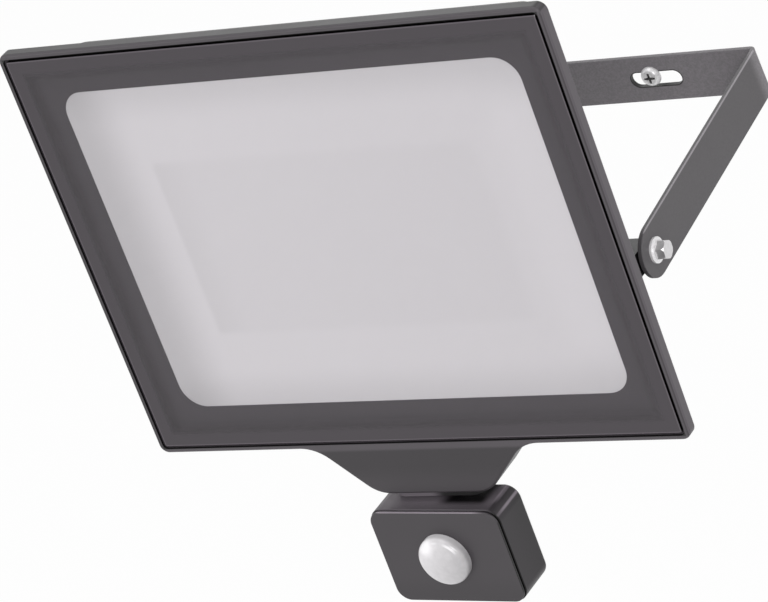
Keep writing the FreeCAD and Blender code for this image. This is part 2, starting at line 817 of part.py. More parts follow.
def wall_screws():
    """Pan-head screws into the wall. The neck that lies in the slot is a little thinner than the thread."""
    screws = []
    for side in (-1, 1):
        x = side * screw_spacing / 2
        screw = pan_screw(screw_neck_radius, strip_thickness + screw_neck_reach, screw_head_radius,
                          screw_head_height, V(x, -strip_thickness, 0.0), V(0, -1, 0))
        thread = rod(screw_radius, V(x, screw_neck_reach, 0.0), V(x, screw_reach_in_wall, 0.0))
        screws.append(screw.fuse(thread))
    return Part.makeCompound(screws)


def sensor_base():
    """Plate under the chin with the neck's bearing in it."""
    middle = swivel_depth + 1.5
    base = block(-base_width / 2, base_width / 2, middle - base_depth / 2, middle + base_depth / 2,
                 base_bottom, chin_bottom)
    corners = [e for e in base.Edges if e.BoundBox.ZLength > base_thickness / 2]
    base = base.makeFillet(base_depth / 2 - 0.2, corners)
    base = base.cut(rod(neck_shaft_radius + neck_fit, V(0, swivel_depth, base_bottom - 1.0),
                        V(0, swivel_depth, chin_bottom + 1.0)))
    for side in (-1, 1):
        x = side * base_screw_x
        base = base.cut(rod(base_screw_radius + 0.1, V(x, swivel_depth, base_bottom - 1.0),
                            V(x, swivel_depth, chin_bottom + 1.0)))
        base = base.cut(rod(base_screw_head_radius + 0.1, V(x, swivel_depth, base_bottom - 1.0),
                            V(x, swivel_depth, base_bottom + base_screw_head_height)))
    return base


def base_screws():
    """Screws that hold the base plate, their heads sunk in it."""
    screws = []
    for side in (-1, 1):
        x = side * base_screw_x
        seat = V(x, swivel_depth, base_bottom + base_screw_head_height)
        shank = rod(base_screw_radius, seat, V(x, swivel_depth, chin_bottom + base_screw_length - 1.0))
        head = rod(base_screw_head_radius, V(x, swivel_depth, base_bottom + 0.1), seat)
        screws.append(shank.fuse(head))
    return Part.makeCompound(screws)


def swivel_neck():
    """Neck: a round shaft in the base plate, a flat stem and a hinge barrel at its end."""
    def at(z):
        return V(0, swivel_depth, z)
    shaft = rod(neck_shaft_radius, at(base_bottom - 0.1), at(chin_bottom + neck_shaft_length))
    half = neck_stem_width / 2
    stem = block(-half, half, swivel_depth - neck_stem_thickness / 2, swivel_depth + neck_stem_thickness / 2,
                 hinge_z, base_bottom - 0.1)
    barrel = rod(hinge_radius, V(-half, swivel_depth, hinge_z), V(half, swivel_depth, hinge_z))
    neck = shaft.fuse([stem, barrel])
    neck = neck.cut(rod(hinge_pin_radius + neck_fit, V(-half - 1, swivel_depth, hinge_z),
                        V(half + 1, swivel_depth, hinge_z)))
    wire_way = rod(neck_wire_radius, at(hinge_z + hinge_radius), at(chin_bottom + neck_shaft_length + 1.0))
    side_way = rod(neck_wire_radius, at(hinge_z + hinge_radius), V(0, swivel_depth + 10.0, hinge_z + hinge_radius))
    return neck.cut([wire_way, side_way])


def neck_retainer():
    """Ring that holds the neck up on the base plate, inside the chin."""
    return tube(retainer_radius, neck_shaft_radius + 0.03, V(0, swivel_depth, chin_bottom + 0.05),
                V(0, swivel_depth, chin_bottom + 0.05 + retainer_thickness))


def sensor_plan(inset, y):
    """Sensor's outline seen from the front, moved in by inset."""
    return rectangle(sensor_width - 2 * inset, sensor_height - 2 * inset, sensor_corner_radius - inset, y,
                     0.0, sensor_middle)


def sensor_screw_points():
    """Places of the screws at the back of the sensor."""
    a = sensor_width / 2 - sensor_screw_inset
    b = sensor_height / 2 - sensor_screw_inset
    return [(-a, sensor_middle - b), (a, sensor_middle - b), (a, sensor_middle + b), (-a, sensor_middle + b)]


def dial_points():
    """Places of the three dials under the sensor."""
    y = sensor_board_back + trimmer_width / 2
    return [V(i * dial_spacing, y, sensor_bottom) for i in (-1, 0, 1)]


def sensor_housing():
    """Rounded box, open to the front, with screw posts, hinge cheeks and a notch for the neck."""
    body = sheet(sensor_plan(0.0, body_front), sensor_back - body_front)
    body = body.makeFillet(sensor_back_radius, edges_at(body, sensor_back))
    body = body.makeFillet(sensor_edge_radius, edges_at(body, body_front))
    room = sheet(sensor_plan(sensor_wall, body_front - 1.0), sensor_back - sensor_wall - body_front + 1.0)
    posts = []
    for x, z in sensor_screw_points():
        posts.append(rod(sensor_post_radius, V(x, body_front - 2.0, z), V(x, sensor_back, z)))
    body = body.cut(room.cut(posts))
    inner = neck_stem_width / 2 + hinge_side_play
    cheeks = []
    for side in (-1, 1):
        low = min(side * inner, side * (inner + cheek_thickness))
        high = max(side * inner, side * (inner + cheek_thickness))
        cheeks.append(block(low, high, swivel_depth - cheek_reach, sensor_back - sensor_wall / 2,
                            hinge_z - cheek_reach, sensor_top - sensor_wall / 2))
    body = body.fuse(cheeks)
    body = body.cut(block(-inner, inner, notch_front, sensor_back + 1.0, hinge_z - cheek_reach,
                          sensor_top + 1.0))
    cuts = [rod(hinge_pin_radius + 0.02, V(-inner - cheek_thickness - 1, swivel_depth, hinge_z),
                V(inner + cheek_thickness + 1, swivel_depth, hinge_z))]
    for x, z in sensor_screw_points():
        cuts.append(rod(sensor_screw_radius + thread_play, V(x, body_front - 1, z), V(x, sensor_back + 1, z)))
    for point in dial_points():
        cuts.append(rod(dial_radius + dial_fit, point - V(0, 0, 1), point + V(0, 0, sensor_wall + 1.0)))
    return body.cut(cuts)


def sensor_cover():
    """Flat front cover with a round hole for the lens."""
    cover = sheet(sensor_plan(face_inset, sensor_face), face_thickness)
    cover = cover.makeFillet(face_edge_radius, edges_at(cover, sensor_face))
    return cover.cut(rod(lens_radius + lens_play, V(0, sensor_face - 1, sensor_middle),
                         V(0, face_back + 1, sensor_middle)))


def sensor_seal():
    """Thin black seal in the joint behind the front cover."""
    ring = sheet(sensor_plan(sensor_seal_inset, face_back), sensor_seal_thickness)
    hole = sheet(sensor_plan(sensor_wall, face_back - 1.0), sensor_seal_thickness + 2.0)
    return ring.cut(hole)


def sensor_screws():
    """Screws from the back of the housing into its posts."""
    length = sensor_back - body_front - 2.0
    return Part.makeCompound([
        pan_screw(sensor_screw_radius, length, sensor_screw_head_radius, sensor_screw_head_height,
                  V(x, sensor_back, z), V(0, 1, 0)) for x, z in sensor_screw_points()])


def lens_cap(inset):
    """Solid cap with straight sides, a rounded edge and a low crown, moved in by inset."""
    top = sensor_face - lens_height + inset
    radius = lens_radius - inset
    crown = lens_crown_radius - inset
    cap = rod(radius, V(0, top - 1.0, sensor_middle), V(0, face_back + 0.05, sensor_middle))
    cap = cap.common(Part.makeSphere(crown, V(0, top + crown, sensor_middle)))
    rim = [e for e in cap.Edges if e.Closed and e.BoundBox.YMax < sensor_face]
    return cap.makeFillet(lens_edge_radius - inset, rim)


def pir_lens():
    """Domed lens that stands out of the cover, with a flange behind it."""
    flange = tube(lens_radius + lens_flange_width, lens_radius - lens_wall, V(0, face_back + 0.05, sensor_middle),
                  V(0, face_back + 0.05 + lens_flange_thickness, sensor_middle))
    return lens_cap(0.0).cut(lens_cap(lens_wall)).fuse(flange).removeSplitter()


def lens_ring():
    """Ring that presses the lens flange against the cover."""
    front = face_back + 0.05 + lens_flange_thickness
    return tube(lens_radius + lens_flange_width, lens_radius - lens_wall - 1.0, V(0, front, sensor_middle),
                V(0, front + lens_ring_thickness, sensor_middle))


def sensor_board():
    """Circuit board behind the lens."""
    half = sensor_board_width / 2
    return block(-half, half, sensor_board_front, sensor_board_back, sensor_board_bottom,
                 sensor_board_bottom + sensor_board_height)


def pir_element():
    """Infrared detector can with its square window."""
    can = rod(pir_radius, V(0, sensor_board_front - pir_height, sensor_middle),
              V(0, sensor_board_front, sensor_middle))
    window = block(-pir_window / 2, pir_window / 2, sensor_board_front - pir_height - 1.0,
                   sensor_board_front - pir_height + 0.4, sensor_middle - pir_window / 2,
                   sensor_middle + pir_window / 2)
    return can.cut(window)


def relay():
    """Switching relay behind the board."""
    low = sensor_board_bottom + trimmer_height + 4.0
    return block(relay_x - relay_width / 2, relay_x + relay_width / 2, sensor_board_back,
                 sensor_board_back + relay_thickness, low, low + relay_height)


def dial(point):
    """Adjusting dial sunk in the sensor's underside, with a screwdriver slot."""
    low = point + V(0, 0, dial_recess)
    knob = rod(dial_radius, low, low + V(0, 0, dial_height))
    shaft = rod(dial_shaft_radius, low, low + V(0, 0, dial_height + dial_shaft_length))
    slot = block(point.x - dial_radius * 0.8, point.x + dial_radius * 0.8, point.y - dial_slot_width / 2,
                 point.y + dial_slot_width / 2, low.z - 1.0, low.z + dial_slot_depth)
    return knob.fuse(shaft).cut(slot)


def trimmers():
    """Rotary trimmers on the board that the dials turn."""
    half = trimmer_width / 2
    pieces = []
    for point in dial_points():
        low = point.z + dial_recess + dial_height + 0.3
        body = block(point.x - half, point.x + half, point.y - half, point.y + half, low, low + trimmer_height)
        body = body.cut(rod(dial_shaft_radius + dial_fit, V(point.x, point.y, low - 1.0),
                            V(point.x, point.y, low + trimmer_height - 1.0)))
        pieces.append(body)
    return Part.makeCompound(pieces)


def hinge_pin():
    """Plain pin through the cheeks and the neck's barrel."""
    end = neck_stem_width / 2 + hinge_side_play + cheek_thickness + 0.4
    return rod(hinge_pin_radius, V(-end, swivel_depth, hinge_z), V(end, swivel_depth, hinge_z))


# The panel frame hangs on the pivot, tilted up by the lamp's angle.
pivot_in_part = V(0, -pivot_reach, -screw_height)
tilt = FreeCAD.Rotation(V(1, 0, 0), -lamp_tilt_deg)
hang = FreeCAD.Placement(pivot_in_part - tilt.multVec(pivot_point(0)), tilt)

# The sensor and its neck are turned a little about the neck's upright axis, as in a part that has been aimed.
turn = FreeCAD.Rotation(V(0, 0, 1), -sensor_turn_deg)
neck_axis = V(0, swivel_depth, 0)
aim = hang.multiply(FreeCAD.Placement(neck_axis - turn.multVec(neck_axis), turn))


def save(name, shape, placement=None):
    """Write one node's STEP file, moved from the panel frame where a placement is given."""
    if placement is not None:
        shape = shape.copy()
        shape.Placement = placement.multiply(shape.Placement)
    shape.exportStep("parts/" + name + ".step")


os.makedirs("parts", exist_ok=True)
lamp_nodes = {
    "rear_housing": rear_housing,
    "front_glass": front_glass,
    "printed_border": printed_border,
    "glass_seal": glass_seal,
    "diffuser_sheet": diffuser_sheet,
    "reflector_frame": reflector_frame,
    "led_board": led_board,
    "led_chips": led_chips,
    "board_screws": board_screws,
    "led_leads": led_leads,
    "driver_module": driver_module,
    "terminal_block": terminal_block,
    "driver_cover": driver_cover,
    "cover_seal": cover_seal,
    "cover_screws": cover_screws,
    "gland_body": gland_body,
    "gland_nut": gland_nut,
    "gland_seal": gland_seal,
    "gland_locknut": gland_locknut,
    "breather": breather,
    "friction_washers": friction_washers,
    "flat_washers": flat_washers,
    "spring_washers": spring_washers,
    "pivot_bolts": pivot_bolts,
    "sensor_base": sensor_base,
    "base_screws": base_screws,
}
turned_nodes = {
    "swivel_neck": swivel_neck,
    "neck_retainer": neck_retainer,
    "sensor_housing": sensor_housing,
    "sensor_cover": sensor_cover,
    "sensor_seal": sensor_seal,
    "sensor_screws": sensor_screws,
    "pir_lens": pir_lens,
    "lens_ring": lens_ring,
    "sensor_board": sensor_board,
    "pir_element": pir_element,
    "relay": relay,
    "trimmers": trimmers,
    "hinge_pin": hinge_pin,
}
for node, maker in lamp_nodes.items():
    save(node, maker(), hang)
for node, maker in turned_nodes.items():
    save(node, maker(), aim)
for node, place in zip(("dial_time", "dial_light", "dial_range"), dial_points()):
    save(node, dial(place), aim)
save("mounting_bracket", mounting_bracket())
save("wall_screws", wall_screws())
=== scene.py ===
import math

import bpy
import numpy as np
from mathutils import Matrix


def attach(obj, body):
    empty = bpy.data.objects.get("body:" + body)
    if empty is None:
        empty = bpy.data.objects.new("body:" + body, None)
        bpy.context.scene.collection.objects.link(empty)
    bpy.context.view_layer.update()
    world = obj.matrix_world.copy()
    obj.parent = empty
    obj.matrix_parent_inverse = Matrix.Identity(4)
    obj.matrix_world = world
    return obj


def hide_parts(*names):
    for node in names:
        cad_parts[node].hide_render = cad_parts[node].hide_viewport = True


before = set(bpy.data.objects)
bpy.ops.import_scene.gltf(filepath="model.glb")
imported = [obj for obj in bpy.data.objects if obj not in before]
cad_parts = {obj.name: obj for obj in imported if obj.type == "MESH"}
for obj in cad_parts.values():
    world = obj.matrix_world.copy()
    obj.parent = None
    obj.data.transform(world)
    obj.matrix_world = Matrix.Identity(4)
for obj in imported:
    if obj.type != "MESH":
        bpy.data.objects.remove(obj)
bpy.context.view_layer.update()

# The view of the photograph: a long lens from the upper right of the lamp's front.
# The lamp hangs on the bracket, so a point measured on its panel is turned about the pivot first.
LEAN = math.radians(5.65)
PIVOT = np.array([0.0, -0.136, -0.00195])
PIVOT_ON_PANEL = np.array([0.0, 0.030, -0.029])
SENSOR_TURN = math.radians(1.6)
SENSOR_AXIS = 0.0105
LEAN_TURN = np.array([[1.0, 0.0, 0.0],
                      [0.0, math.cos(LEAN), math.sin(LEAN)],
                      [0.0, -math.sin(LEAN), math.cos(LEAN)]])


def hang(points_mm):
    """Panel points in millimetres, turned by the lean about the pivot, in metres in the row frame."""
    return (np.asarray(points_mm, float) / 1000 - PIVOT_ON_PANEL) @ LEAN_TURN.T + PIVOT


lens_data = bpy.data.cameras.new("photo_view")
lens_data.lens = 196.9
lens_data.sensor_width = 36.0
lens_data.clip_end = 60.0
photo_view = bpy.data.objects.new("photo_view", lens_data)
bpy.context.scene.collection.objects.link(photo_view)
ahead = np.array([-0.54673, 0.67095, -0.50091])
ahead /= np.linalg.norm(ahead)
upward = np.array([0.04035, 0.61865, 0.78463])
upward -= ahead * (upward @ ahead)
upward /= np.linalg.norm(upward)
to_right = np.cross(ahead, upward)
photo_view.matrix_world = Matrix([
    [to_right[0], upward[0], -ahead[0], 1.03385],
    [to_right[1], upward[1], -ahead[1], -1.41903],
    [to_right[2], upward[2], -ahead[2], 0.93544],
    [0.0, 0.0, 0.0, 1.0],
])
bpy.context.scene.camera = photo_view
bpy.context.scene.view_settings.view_transform = "Standard"


# Painted and bare surfaces are all built from the same two tools: a number that varies over a
# surface, and a finish that holds the nodes of one material.
class Reading:
    """A number that varies over a surface. Arithmetic on it adds Math nodes to its finish."""

    def __init__(self, finish, socket):
        self.finish = finish
        self.socket = socket

    def _with(self, operation, first, second):
        return self.finish.node("ShaderNodeMath", {"operation": operation}, {0: first, 1: second})

    def __add__(self, other):
        return self._with("ADD", self, other)

    def __radd__(self, other):
        return self._with("ADD", other, self)

    def __sub__(self, other):
        return self._with("SUBTRACT", self, other)

    def __rsub__(self, other):
        return self._with("SUBTRACT", other, self)

    def __mul__(self, other):
        return self._with("MULTIPLY", self, other)

    def __rmul__(self, other):
        return self._with("MULTIPLY", other, self)

    def __truediv__(self, other):
        return self._with("DIVIDE", self, other)

    def __abs__(self):
        return self.finish.node("ShaderNodeMath", {"operation": "ABSOLUTE"}, {0: self})

    def rise(self, low, high, at_low=0.0, at_high=1.0):
        """Smooth step between two readings."""
        return self.finish.node("ShaderNodeMapRange", {"interpolation_type": "SMOOTHSTEP"},
                                {"Value": self, "From Min": low, "From Max": high,
                                 "To Min": at_low, "To Max": at_high})


class Finish:
    """One material. node() adds a node of any kind, with its settings and then its inputs."""

    def __init__(self, name):
        self.material = bpy.data.materials.new(name)
        self.material.use_nodes = True
        self.tree = self.material.node_tree
        self.tree.nodes.clear()
        self.output = self.tree.nodes.new("ShaderNodeOutputMaterial")
        self.spot = self.node("ShaderNodeTexCoord", {}, {}, "Object")

    def node(self, kind, settings, inputs, result=0):
        made = self.tree.nodes.new(kind)
        for key, value in settings.items():
            if key == "stops":
                ramp = made.color_ramp
                while len(ramp.elements) < len(value):
                    ramp.elements.new(0.5)
                for element, (place, colour) in zip(ramp.elements, value):
                    element.position = place
                    element.color = colour
            else:
                setattr(made, key, value)
        for key, value in inputs.items():
            if isinstance(value, Reading):
                self.tree.links.new(value.socket, made.inputs[key])
            else:
                made.inputs[key].default_value = value
        return Reading(self, made.outputs[result])

    def noise(self, size_mm, detail=3.0, roughness=0.5, where=None):
        """Noise from 0 to 1 whose lumps are about size_mm across."""
        return self.node("ShaderNodeTexNoise", {}, {"Vector": where or self.spot, "Scale": 1000.0 / size_mm,
                                                    "Detail": detail, "Roughness": roughness})

    def cells(self, size_mm, feature="F1", where=None):
        """Distance to the nearest of scattered points, size_mm apart."""
        return self.node("ShaderNodeTexVoronoi", {"feature": feature},
                         {"Vector": where or self.spot, "Scale": 1000.0 / size_mm})

    def panel_spot(self):
        """Object coordinates turned back to the lamp's panel frame, in metres."""
        shift = PIVOT_ON_PANEL - LEAN_TURN.T @ PIVOT
        return self.node("ShaderNodeMapping", {}, {"Vector": self.spot, "Location": tuple(shift),
                                                   "Rotation": (LEAN, 0.0, 0.0)})

    def sensor_spot(self):
        """Object coordinates turned back to the sensor's own frame, in metres from the panel's origin."""
        shift = (SENSOR_AXIS * math.sin(SENSOR_TURN), SENSOR_AXIS * (1 - math.cos(SENSOR_TURN)), 0.0)
        return self.node("ShaderNodeMapping", {}, {"Vector": self.panel_spot(), "Location": shift,
                                                   "Rotation": (0.0, 0.0, SENSOR_TURN)})

    def reach(self, first, second):
        """Length of the line whose two parts are the readings."""
        pair = self.node("ShaderNodeCombineXYZ", {}, {0: first, 1: second})
        return self.node("ShaderNodeVectorMath", {"operation": "LENGTH"}, {0: pair}, 1)

    def axes(self, where):
        """The three coordinates of a point as readings."""
        split = self.node("ShaderNodeSeparateXYZ", {}, {0: where})
        return [Reading(self, socket) for socket in split.socket.node.outputs]

    def blend(self, share, first, second, how="MIX"):
        """Colour between two colours by a reading."""
        return self.node("ShaderNodeMix", {"data_type": "RGBA", "blend_type": how},
                         {0: share, 6: first, 7: second}, 2)

    def bump(self, height, depth_mm, strength=1.0):
        """Surface relief of the given depth."""
        return self.node("ShaderNodeBump", {}, {"Height": height, "Distance": depth_mm / 1000,
                                                "Strength": strength})

    def shade(self, **inputs):
        """Principled shader on the surface. Names use _ for a space."""
        names = {key.replace("_", " "): value for key, value in inputs.items()}
        shader = self.node("ShaderNodeBsdfPrincipled", {}, names)
        self.tree.links.new(shader.socket, self.output.inputs["Surface"])
        return self.material


def tone(level, green=0.88):
    """Grey of the lamp's paint, with its trace of violet. Level is linear."""
    return (level, level * green, level, 1.0)


def wear(nodes, material):
    """Give CAD nodes their material."""
    for name in nodes:
        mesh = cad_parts[name].data
        mesh.materials.clear()
        mesh.materials.append(material)


# The cast body is sprayed with a smooth dark grey powder coat, thinner and shinier here and there.
# Light and shade are painted into the coat. On the front it is painted darker on the left lip and the chin,
# and paler on the rest of the lip, least so on the upper lip. The rim's sides are painted paler, with a painted
# dark line along the left and right front edges, and the rim's top side is painted darker. Everywhere inside
# the outline of the pane's pocket, at every depth, it is painted nearly black as painted shade of the narrow gap.
coat = Finish("lamp_coat")
coat_cloud = coat.noise(30.0, 2.0)
coat_grain = coat.noise(0.55, 2.0, 0.6)
across_coat, coat_depth, up_coat = coat.axes(coat.panel_spot())
coat_front = coat_depth.rise(0.0006, 0.0014, 1.0, 0.0)
lip_front_painted_light_and_shade = across_coat.rise(-0.1420, -0.1400, 0.42, -0.45) + up_coat.rise(0.1055, 0.1075, 0.0, 0.25)
chin_front_painted_shade = up_coat.rise(-0.1105, -0.1085, 1.0, 0.0) * up_coat.rise(-0.130, -0.118, 0.58, 0.82)
rim_side_painted_light = abs(across_coat).rise(0.1422, 0.1426) * coat_depth.rise(0.0000, 0.0004) * 1.1
lip_edge_painted_shade = abs(abs(across_coat) - 0.1421).rise(0.0002, 0.0006, 0.35, 0.0)
rim_top_painted_shade = up_coat.rise(0.1076, 0.1081) * coat_depth.rise(0.0006, 0.0012) * (coat_cloud * 0.2 + 0.68)
pane_gap_painted_shade = abs(across_coat).rise(0.1407, 0.1408, 1.0, 0.0) * abs(up_coat).rise(0.1060, 0.1061, 1.0, 0.0)
coat_painted_level = (1.0 - coat_front * (lip_front_painted_light_and_shade + chin_front_painted_shade)) * (rim_side_painted_light + 1.0) * (1.0 - pane_gap_painted_shade * 0.92)
coat_painted_level = coat_painted_level * (1.0 - lip_edge_painted_shade) * (1.0 - rim_top_painted_shade)
rear_coat = coat.shade(
    Base_Color=coat.blend(coat_painted_level * (coat_cloud * 0.14 + 0.93) * 0.5, (0.0, 0.0, 0.0, 1.0), tone(0.098)),
    Roughness=coat_cloud * 0.08 + coat_grain * 0.06 + 0.36,
    Normal=coat.bump(coat_grain, 0.02, 0.35),
)
wear(["rear_housing", "driver_cover"], rear_coat)

# The bracket is a bent steel strip with a powder coat: smooth on the arms, coarse on the crossbar, with small
# pale and dark specks. The crossbar is painted paler as painted light, and its upper face darker as painted shade.
# A painted highlight runs along the arms' outer upper edges, and the slots and their edges are painted dark as
# painted shade.
STRIP_MIDDLE = -0.00195
SLOT_MIDDLE = 0.0825
SLOT_HALF_RUN = 0.0093
SLOT_HALF_WIDTH = 0.004
strip = Finish("bracket_coat")
strip_grain = strip.noise(0.9, 3.0, 0.65)
strip_speck = strip.cells(1.1)
strip_cloud = strip.noise(22.0, 2.0)
along_strip, strip_depth, up_strip = strip.axes(strip.spot)
on_bar = strip_depth.rise(-0.0120, -0.0040)
slot_run = strip.node("ShaderNodeMath", {"operation": "MAXIMUM"},
                      {0: abs(abs(along_strip) - SLOT_MIDDLE) - SLOT_HALF_RUN, 1: 0.0})
slot_painted_shade_mask = strip.reach(slot_run, up_strip - STRIP_MIDDLE).rise(SLOT_HALF_WIDTH + 0.0003, SLOT_HALF_WIDTH + 0.0007)
on_outside = abs(along_strip).rise(0.1374, 0.1378)
arm_edge_painted_highlight = up_strip.rise(0.0096, 0.0099) * on_outside * strip_depth.rise(-0.0060, -0.0030, 1.0, 0.0)
strip_top_painted_shade = up_strip.rise(0.0101, 0.0103) * (1.0 - on_outside)
grain_here = (strip_grain.rise(0.33, 0.67) - 0.5) * (on_bar * 0.50 + 0.08)
strip_level = (on_bar * 1.40 + 1.0 + grain_here) * (arm_edge_painted_highlight * 2.6 + 1.0) * (1.0 - strip_top_painted_shade * 0.35)
bracket_coat = strip.shade(
    Base_Color=strip.blend(strip_level * (slot_painted_shade_mask * 0.94 + 0.06) * 0.25, (0.0, 0.0, 0.0, 1.0), tone(0.35, 0.935)),
    Roughness=strip_cloud * 0.06 + strip_speck * 0.08 + 0.42,
    Normal=strip.bump((strip_grain + strip_speck * 0.4) * (on_bar * 0.8 + 0.2), 0.07, 0.5),
)
wear(["mounting_bracket"], bracket_coat)

# The pane is toughened float glass with ground edges. It lies in its silicone frame, flush with the rim.
# Its front reflects more at a graze. Its back lies on the print and the opal sheet and reflects nothing.
# Near its edge the print shows right up to a thin pale line, a painted highlight on the ground arris.
# Along the right and upper edges a narrow black strip beyond it, where the pane reflects nothing, stands for
# the black bead and is painted shade of the gap it lies in.
# Its mesh stops just short of the printed border, so that the two do not share a plane.
PANE_WIDTH = 278.8
PANE_HEIGHT = 209.4
PANE_CORNER = 1.2
PANE_FRONT = 0.2
PANE_BACK = 3.3
PANE_ARRIS = 0.35


def rounded_loop(width, height, radius, per_corner=8):
    """Points (x, z) round a rectangle whose corners are quarter circles, counterclockwise."""
    turn = np.linspace(0, math.pi / 2, per_corner)
    quarters = []
    for index, (sx, sz) in enumerate([(1, 1), (-1, 1), (-1, -1), (1, -1)]):
        angle = turn + index * math.pi / 2
        centre = np.array([sx * (width / 2 - radius), sz * (height / 2 - radius)])
        quarters.append(centre + radius * np.stack([np.cos(angle), np.sin(angle)], 1))
    return np.concatenate(quarters)


def make_piece(name, points, faces, material, body, sharp_deg=35.0):
    """Mesh from points in metres and faces, edges over sharp_deg kept sharp. A closed shape whose
    volume, summed over its faces' fans, comes out negative is turned the right way out."""
    points = np.asarray(points, float)
    fans = np.array([(f[0], f[i], f[i + 1]) for f in faces for i in range(1, len(f) - 1)])
    a, b, c = points[fans[:, 0]], points[fans[:, 1]], points[fans[:, 2]]
    if np.einsum("ij,ij->i", a - points.mean(0), np.cross(b - points.mean(0), c - points.mean(0))).sum() < 0:
        faces = [f[::-1] for f in faces]
    mesh = bpy.data.meshes.new(name)
    mesh.from_pydata(points.tolist(), [], [tuple(int(i) for i in f) for f in faces])
    mesh.validate()
    mesh.shade_smooth()
    mesh.set_sharp_from_angle(angle=math.radians(sharp_deg))
    mesh.materials.append(material)
    piece = bpy.data.objects.new(name, mesh)
    bpy.context.scene.collection.objects.link(piece)
    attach(piece, body)
    return piece


def grid_faces(rows, columns, wrap=True, offset=0):
    """Quads of a grid of points, row by row. With wrap the last column joins the first."""
    r = np.arange(rows - 1)[:, None]
    c = np.arange(columns if wrap else columns - 1)[None, :]
    here = r * columns + c
    beside = r * columns + (c + 1) % columns
    return (np.stack([here, beside, beside + columns, here + columns], -1).reshape(-1, 4) + offset).tolist()


def slab(width, height, radius, levels):
    """Rings of a rounded rectangle at (depth, inset) levels from front to back, capped at both ends."""
    rings = []
    for depth, inset in levels:
        loop = rounded_loop(width - 2 * inset, height - 2 * inset, max(radius - inset, 0.2))
        rings.append(np.stack([loop[:, 0], np.full(len(loop), depth), loop[:, 1]], 1))
    count = len(rings[0])
    faces = grid_faces(len(rings), count)
    faces.append(list(range(count))[::-1])
    faces.append([(len(rings) - 1) * count + i for i in range(count)])
    return np.concatenate(rings), faces


glass = Finish("pane_glass")
glass_dust = glass.noise(45.0, 3.0)
glass_mirror = glass.node("ShaderNodeBsdfGlossy", {}, {"Color": (1.0, 1.0, 1.0, 1.0), "Roughness": 0.04})
glass_clear = glass.node("ShaderNodeBsdfTransparent", {}, {"Color": (0.985, 0.99, 0.987, 1.0)})
glass_graze = glass.node("ShaderNodeLayerWeight", {}, {"Blend": 0.5}, 1)
glass_graze = glass_graze * glass_graze * glass_graze * glass_graze * glass_graze
across_glass, glass_depth, up_glass = glass.axes(glass.panel_spot())
glass_front = glass_depth.rise(0.0010, 0.0014, 1.0, 0.0)
to_edge = glass.node("ShaderNodeMath", {"operation": "MINIMUM"},
                     {0: PANE_WIDTH / 2000 - abs(across_glass), 1: PANE_HEIGHT / 2000 - abs(up_glass)})
to_bead = glass.node("ShaderNodeMath", {"operation": "MINIMUM"},
                     {0: PANE_WIDTH / 2000 - across_glass, 1: PANE_HEIGHT / 2000 - up_glass})
past_bead_and_gap_shade = to_bead.rise(0.00015, 0.00030)
arris_painted_highlight = to_edge.rise(0.0002, 0.0004) * to_edge.rise(0.0006, 0.0010, 1.0, 0.0)
edge_print = glass.node("ShaderNodeBsdfPrincipled", {}, {
    "Base Color": glass.blend((arris_painted_highlight * 0.5 + 0.5) * past_bead_and_gap_shade, (0.0, 0.0, 0.0, 1.0), tone(0.108, 0.86)),
    "Roughness": 0.5, "Specular IOR Level": 0.0})
glass_body = glass.node("ShaderNodeMixShader", {}, {
    0: to_edge.rise(0.0055, 0.0120, 1.0, 0.0) * glass_front, 1: glass_clear, 2: edge_print})
glass_share = (glass_graze * 0.96 + 0.04) * (glass_dust * 0.08 + 0.92) * glass_front * past_bead_and_gap_shade
glass_mixed = glass.node("ShaderNodeMixShader", {}, {0: glass_share, 1: glass_body, 2: glass_mirror})
glass.tree.links.new(glass_mixed.socket, glass.output.inputs["Surface"])
pane_points, pane_faces = slab(PANE_WIDTH, PANE_HEIGHT, PANE_CORNER, [
    (PANE_FRONT, PANE_ARRIS), (PANE_FRONT + PANE_ARRIS, 0.0), (PANE_BACK - PANE_ARRIS, 0.0), (PANE_BACK, PANE_ARRIS)])
pane = make_piece("glass_pane", hang(pane_points), pane_faces, glass.material, "lamp")
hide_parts("front_glass")

# The border is screen-printed on the back of the pane in dense dark grey enamel. Towards the left and lower
# edges it is painted paler, as painted light that offsets the shade cast on it by the pane's own edge print.
ink = Finish("border_ink")
ink_cloud = ink.noise(60.0, 2.0)
across_ink, _, up_ink = ink.axes(ink.panel_spot())
to_low_edge = ink.node("ShaderNodeMath", {"operation": "MINIMUM"},
                       {0: across_ink + PANE_WIDTH / 2000, 1: up_ink + PANE_HEIGHT / 2000})
ink_painted_light = to_low_edge.rise(0.0040, 0.0115, 1.0, 0.5)
border_ink = ink.shade(
    Base_Color=ink.blend((ink_cloud * 0.1 + 0.90) * ink_painted_light, (0.001, 0.001, 0.001, 1.0), tone(0.142, 0.86)),
    Roughness=ink_cloud * 0.05 + 0.5,
    Specular_IOR_Level=0.0,
)
wear(["printed_border"], border_ink)

# Behind the window an opal sheet spreads the light. The reflector behind it is painted into its colour as
# painted shade: darker near the left, upper and lower edges and a little towards the right, with a faint painted
# light near the right edge and the flat LED field as a soft, slightly darker rectangle.
opal = Finish("opal_sheet")
along, _, aloft = opal.axes(opal.panel_spot())
left_shade = along.rise(-0.116, -0.086, 0.76, 1.0)
top_shade = aloft.rise(0.064, 0.086, 1.0, 0.88)
bottom_shade = aloft.rise(-0.087, -0.063, 0.86, 1.0)
right_painted_light = along.rise(0.088, 0.108) * abs(aloft).rise(0.052, 0.074, 1.0, -0.6) * 0.04 + 1.0
inside = (along.rise(-0.0865, -0.0835) * along.rise(0.082, 0.088, 1.0, 0.0)
          * abs(aloft).rise(0.0435, 0.0475, 1.0, 0.0))
field_shade = 1.0 - inside * (along.rise(-0.084, -0.064, 0.075, 0.03))
rightward_painted_shade = along.rise(-0.060, 0.100, 1.0, 0.965)
